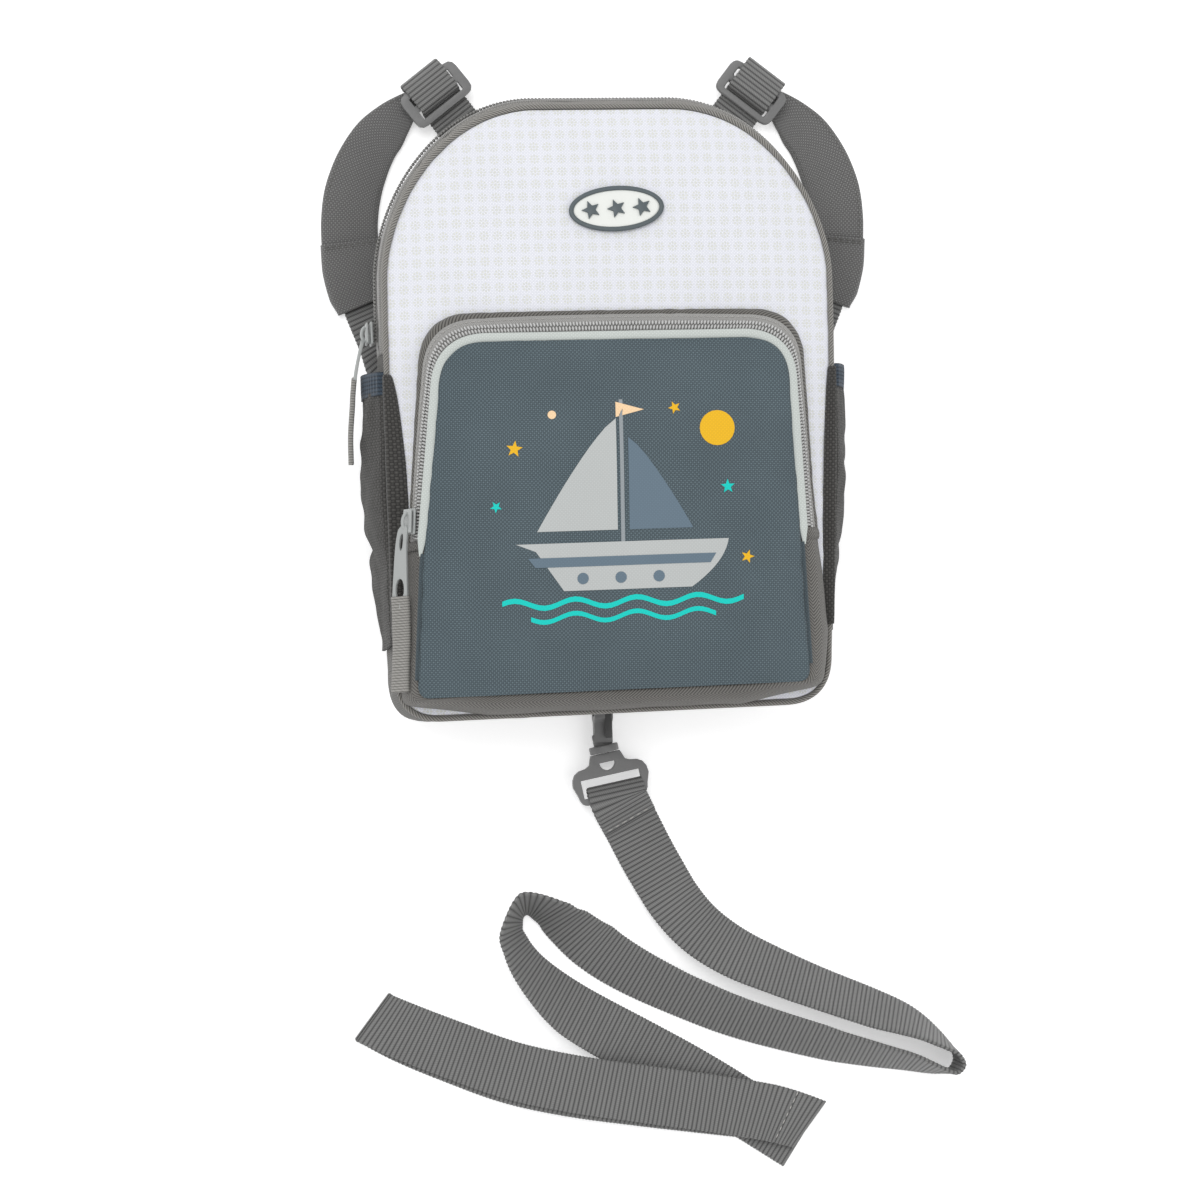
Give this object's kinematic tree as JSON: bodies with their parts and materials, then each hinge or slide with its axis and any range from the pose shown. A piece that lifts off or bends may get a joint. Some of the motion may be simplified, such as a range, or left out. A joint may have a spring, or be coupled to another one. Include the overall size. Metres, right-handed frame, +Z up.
{
  "type": "toddler harness backpack",
  "caption": "Small stuffed child's backpack lying on its back, with a zipped front pocket, side pockets, shoulder straps and a detachable webbing lead with a hand loop.",
  "frame": {"origin": "the middle of the flat underside of the back panel, on the floor", "axes": "+Y towards the top of the bag, +Z up through the front of the bag, +X to the right seen from the front"},
  "size_m": [0.2744, 0.4898, 0.0834],
  "materials": {
    "white_cloth": "plain weave",
    "slate_cloth": "plain weave",
    "grey_cloth": "plain weave",
    "grey_webbing": "ribbed webbing",
    "navy_elastic": "ribbed elastic",
    "pale_piping": "smooth cord",
    "zip_coil": "satin",
    "zip_metal": "satin",
    "grey_plastic": "matte",
    "badge_trim": "matte"
  },
  "bodies": {
    "root": {"back_panel": "grey_cloth", "badge_base": "white_cloth", "badge_rim": "badge_trim", "badge_star_1": "badge_trim", "badge_star_2": "badge_trim", "badge_star_3": "badge_trim", "base_gusset": "grey_cloth", "front_binding": "grey_cloth", "gusset_back_strip": "grey_cloth", "gusset_front_strip": "grey_cloth", "hand_loop": "grey_webbing", "harness_ring": "grey_plastic", "harness_tab": "grey_webbing", "hook_collar": "grey_plastic", "hook_swivel_frame": "grey_plastic", "leash_hook_fold": "grey_webbing", "leash_webbing": "grey_webbing", "lower_webbing_left": "grey_webbing", "lower_webbing_right": "grey_webbing", "main_front_panel": "white_cloth", "main_zip_coil": "zip_coil", "main_zip_pull_tape": "grey_webbing", "main_zip_puller": "zip_metal", "main_zip_slider": "zip_metal", "main_zip_tape": "grey_cloth", "pocket_elastic_left": "navy_elastic", "pocket_elastic_right": "navy_elastic", "pocket_front_panel": "slate_cloth", "pocket_gusset": "grey_cloth", "pocket_piping": "pale_piping", "pocket_pull_tab": "grey_webbing", "pocket_zip_border": "grey_cloth", "pocket_zip_coil": "zip_coil", "pocket_zip_puller": "zip_metal", "pocket_zip_slider": "zip_metal", "pocket_zip_tape": "grey_cloth", "shoulder_strap_left": "grey_webbing", "shoulder_strap_right": "grey_webbing", "side_gusset_left": "grey_cloth", "side_gusset_right": "grey_cloth", "side_pocket_left": "grey_cloth", "side_pocket_right": "grey_cloth", "snap_hook": "grey_plastic", "strap_sleeve_left": "grey_webbing", "strap_sleeve_right": "grey_webbing", "strap_slider_left": "grey_plastic", "strap_slider_right": "grey_plastic", "upper_webbing_left": "grey_webbing", "upper_webbing_right": "grey_webbing"}
  },
  "joints": []
}
